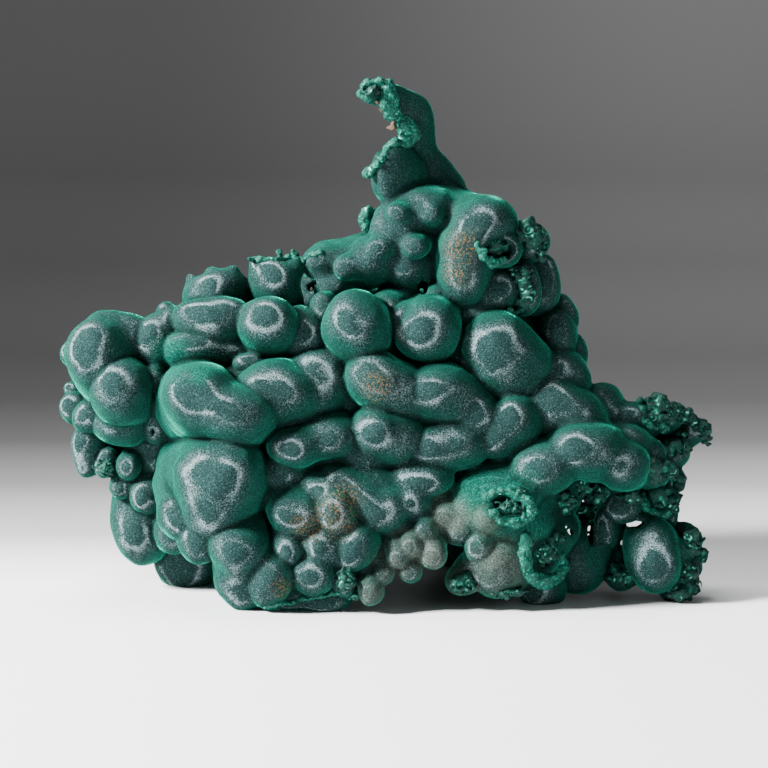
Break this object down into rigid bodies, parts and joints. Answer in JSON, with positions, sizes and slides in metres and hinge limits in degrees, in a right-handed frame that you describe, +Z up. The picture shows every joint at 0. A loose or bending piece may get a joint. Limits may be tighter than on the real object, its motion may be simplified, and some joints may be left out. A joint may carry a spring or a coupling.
{
  "type": "malachite specimen",
  "caption": "Freestanding botryoidal malachite: packed velvety round lobes with pale growth rings, a broken hooked spire and crusty edges, resting on worn lobes as feet.",
  "frame": {"origin": "middle of the footprint box, on the surface that the feet stand on", "axes": "+Z up, +X to the right along the longest side, the show face looks along -Y"},
  "size_m": [0.2198, 0.1086, 0.1711],
  "materials": {
    "malachite": "velvety matte botryoidal malachite, dark green lobes with pale silky rings and brighter green edges",
    "bright_malachite": "broken crust rims of pale mint green silky malachite",
    "limonite": "dull earthy rust brown crumbs"
  },
  "bodies": {
    "root": {"malachite_specimen": "malachite"}
  },
  "joints": []
}
